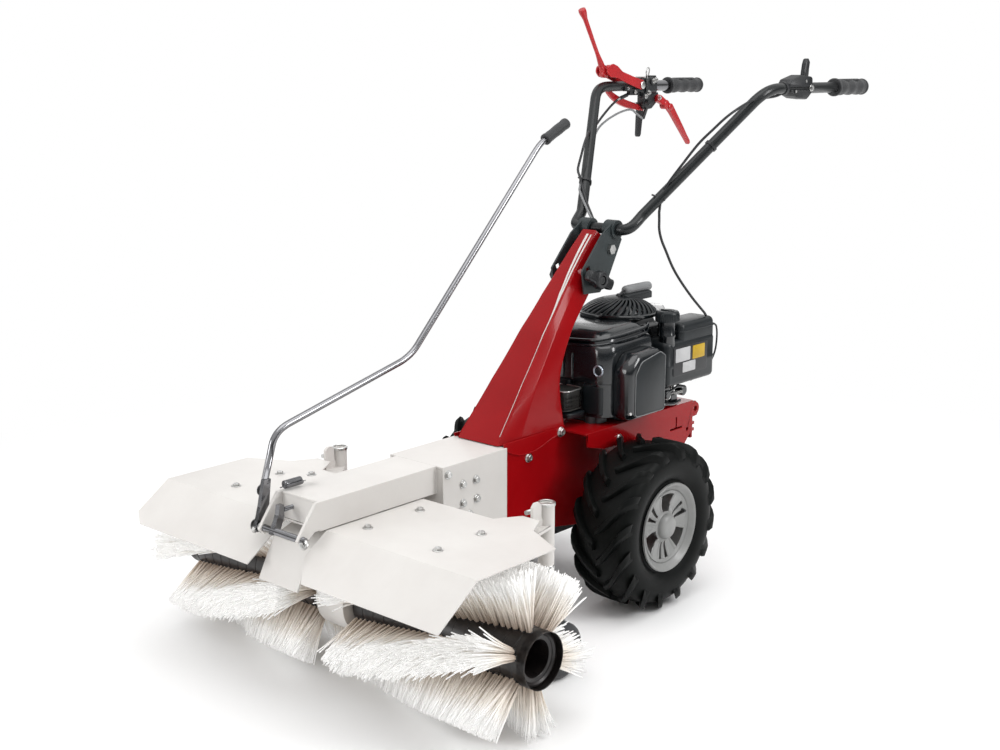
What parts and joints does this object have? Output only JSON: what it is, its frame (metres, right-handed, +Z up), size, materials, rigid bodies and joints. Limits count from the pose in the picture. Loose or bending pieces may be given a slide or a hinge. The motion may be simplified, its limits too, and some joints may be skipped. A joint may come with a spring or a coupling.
{
  "type": "walk-behind sweeper",
  "caption": "Two-wheel walk-behind power unit with a vertical-shaft engine and handlebar, carrying a turning rotary brush head with hoods and casters in front.",
  "frame": {"origin": "on the ground in the middle of the machine's overall length and width; the wheel axle stands 15.5 mm behind it, towards +Y", "axes": "+Z up, brush head in front towards -Y, handlebar towards +Y, +X towards the machine's left-hand side; the wheel axle is parallel to X"},
  "size_m": [0.81, 1.523, 1.15],
  "materials": {
    "red_paint": "glossy",
    "white_paint": "satin",
    "black_paint": "satin",
    "grey_paint": "satin",
    "engine_plastic": "gloss",
    "black_plastic": "matte",
    "rubber": "matte",
    "tyre": "matte",
    "rim_grey": "satin",
    "zinc_steel": "satin",
    "chrome": "polished",
    "cast_metal": "rough",
    "engine_metal": "cast",
    "muffler_metal": "heat-tinted",
    "handle_grey": "matte",
    "core_plastic": "satin",
    "bristle_fibre": "fibre"
  },
  "bodies": {
    "chassis": {"chassis_frame": "red_paint", "engine_deck": "red_paint", "column_cover": "red_paint", "column_post": "black_paint", "gearbox_case": "cast_metal", "chassis_bolts": "zinc_steel", "rear_hitch": "red_paint", "sweeper_adapter": "white_paint", "sweeper_beam": "white_paint", "beam_bolts": "zinc_steel", "engine_block": "engine_metal", "blower_housing": "engine_plastic", "starter_cover": "engine_plastic", "air_filter_cover": "engine_plastic", "fuel_tank": "engine_plastic", "muffler": "muffler_metal", "drive_belt": "rubber", "return_spring": "zinc_steel", "clamp_bolt": "black_plastic"},
    "engine_shaft": {"crankshaft": "zinc_steel", "engine_pulley": "zinc_steel"},
    "gearbox_input": {"gearbox_pulley": "zinc_steel"},
    "wheels": {"wheel_axle": "zinc_steel", "rim_left": "rim_grey", "rim_right": "rim_grey", "tyre_left": "tyre", "tyre_right": "tyre"},
    "starter_grip": {"recoil_handle": "handle_grey"},
    "tank_cap": {"fuel_cap": "engine_plastic"},
    "bar": {"handlebar": "black_paint", "bar_bracket": "grey_paint", "pivot_bolt": "zinc_steel", "hand_grips": "rubber", "throttle_housing": "black_plastic", "control_clamp": "black_plastic"},
    "throttle": {"throttle_lever": "black_plastic"},
    "clutch": {"clutch_lever": "red_paint"},
    "reverse": {"reverse_lever": "red_paint"},
    "bar_lock": {"lock_lever": "black_plastic"},
    "left_knob": {"knob_left": "black_plastic"},
    "head": {"head_frame": "white_paint", "hood_left": "white_paint", "hood_right": "white_paint", "head_bolts": "zinc_steel"},
    "upright": {"upright_shaft": "zinc_steel"},
    "pto": {"drive_shaft": "zinc_steel"},
    "brush": {"brush_shaft": "zinc_steel", "brush_cores": "core_plastic", "bristles": "bristle_fibre"},
    "stem_l": {"caster_stem_left": "zinc_steel"},
    "stem_r": {"caster_stem_right": "zinc_steel"},
    "fork_l": {"caster_fork_left": "zinc_steel"},
    "fork_r": {"caster_fork_right": "zinc_steel"},
    "roller_l": {"caster_wheel_left": "rubber"},
    "roller_r": {"caster_wheel_right": "rubber"},
    "clamp_l": {"stem_clamp_left": "zinc_steel"},
    "clamp_r": {"stem_clamp_right": "zinc_steel"},
    "release": {"lever_rod": "chrome", "lever_grip": "rubber"},
    "lock": {"lock_rod": "chrome"}
  },
  "joints": [
    {"name": "wheels_roll", "type": "hinge", "parent": "chassis", "child": "wheels", "pos_m": [0, 0.0155, 0.165], "axis": [1, 0, 0], "continuous": true},
    {"name": "crankshaft_spin", "type": "hinge", "parent": "chassis", "child": "engine_shaft", "pos_m": [0, 0.1715, 0.3], "axis": [0, 0, 1], "continuous": true},
    {"name": "gearbox_input_spin", "type": "hinge", "parent": "chassis", "child": "gearbox_input", "pos_m": [0, -0.0445, 0.3], "axis": [0, 0, 1], "continuous": true},
    {"name": "starter_pull", "type": "slide", "parent": "chassis", "child": "starter_grip", "axis": [0, 0.6, 0.8], "range_m": [0, 0.6]},
    {"name": "fuel_cap_twist", "type": "hinge", "parent": "chassis", "child": "tank_cap", "pos_m": [0.11, 0.1865, 0.53], "axis": [0, 0, 1], "range_deg": [0, 120]},
    {"name": "handlebar_tilt", "type": "hinge", "parent": "chassis", "child": "bar", "pos_m": [0, 0.0855, 0.674], "axis": [1, 0, 0], "range_deg": [-12, 14]},
    {"name": "throttle_turn", "type": "hinge", "parent": "bar", "child": "throttle", "pos_m": [0.214, 0.5015, 1.004], "axis": [1, 0, 0], "range_deg": [-20, 35]},
    {"name": "clutch_pull", "type": "hinge", "parent": "bar", "child": "clutch", "pos_m": [-0.214, 0.5105, 0.983], "axis": [1, 0, 0], "range_deg": [-40, 0]},
    {"name": "reverse_squeeze", "type": "hinge", "parent": "bar", "child": "reverse", "pos_m": [-0.214, 0.5755, 0.954], "axis": [1, 0, 0], "range_deg": [0, 25]},
    {"name": "lock_lever_turn", "type": "hinge", "parent": "bar", "child": "bar_lock", "pos_m": [-0.214, 0.5475, 0.938], "axis": [1, 0, 0], "range_deg": [-25, 25]},
    {"name": "knob_left_turn", "type": "hinge", "parent": "chassis", "child": "left_knob", "pos_m": [0.05, 0.0305, 0.621], "axis": [1, 0, 0], "range_deg": [-180, 180]},
    {"name": "head_yaw", "type": "hinge", "parent": "chassis", "child": "head", "pos_m": [0, -0.5695, 0.29], "axis": [0, 0, 1], "range_deg": [-12, 12]},
    {"name": "upright_spin", "type": "hinge", "parent": "head", "child": "upright", "pos_m": [0, -0.5695, 0.29], "axis": [0, 0, 1], "continuous": true},
    {"name": "drive_shaft_spin", "type": "hinge", "parent": "chassis", "child": "pto", "pos_m": [0, -0.3845, 0.32], "axis": [0, 1, 0], "continuous": true},
    {"name": "brush_spin", "type": "hinge", "parent": "head", "child": "brush", "pos_m": [0, -0.5695, 0.142], "axis": [1, 0, 0], "continuous": true},
    {"name": "release_lift", "type": "hinge", "parent": "chassis", "child": "release", "pos_m": [0, -0.7265, 0.29], "axis": [1, 0, 0], "range_deg": [0, 8], "deforming": ["return_spring"]},
    {"name": "lock_rod_slide", "type": "slide", "parent": "chassis", "child": "lock", "axis": [0, -1, 0], "range_m": [0, 0.0046]},
    {"name": "caster_height_left", "type": "slide", "parent": "head", "child": "stem_l", "axis": [0, 0, 1], "range_m": [-0.03, 0.045]},
    {"name": "caster_swivel_left", "type": "hinge", "parent": "stem_l", "child": "fork_l", "pos_m": [0.258, -0.3705, 0.13], "axis": [0, 0, 1], "continuous": true},
    {"name": "caster_roll_left", "type": "hinge", "parent": "fork_l", "child": "roller_l", "pos_m": [0.28149, -0.36195, 0.05], "axis": [-0.342, 0.9397, 0], "continuous": true},
    {"name": "stem_clamp_turn_left", "type": "hinge", "parent": "head", "child": "clamp_l", "pos_m": [0.238, -0.3705, 0.292], "axis": [1, 0, 0], "range_deg": [-180, 180]},
    {"name": "caster_height_right", "type": "slide", "parent": "head", "child": "stem_r", "axis": [0, 0, 1], "range_m": [-0.03, 0.045]},
    {"name": "caster_swivel_right", "type": "hinge", "parent": "stem_r", "child": "fork_r", "pos_m": [-0.258, -0.3705, 0.13], "axis": [0, 0, 1], "continuous": true},
    {"name": "caster_roll_right", "type": "hinge", "parent": "fork_r", "child": "roller_r", "pos_m": [-0.28149, -0.36195, 0.05], "axis": [0.342, 0.9397, 0], "continuous": true},
    {"name": "stem_clamp_turn_right", "type": "hinge", "parent": "head", "child": "clamp_r", "pos_m": [-0.278, -0.3705, 0.292], "axis": [1, 0, 0], "range_deg": [-180, 180]}
  ],
  "couplings": [
    {"joint": "gearbox_input_spin", "follows": "crankshaft_spin", "ratio": 0.5794},
    {"joint": "upright_spin", "follows": "brush_spin", "ratio": 2},
    {"joint": "drive_shaft_spin", "follows": "brush_spin", "ratio": 4},
    {"joint": "lock_rod_slide", "follows": "release_lift", "m_per_rad": 0.032}
  ]
}
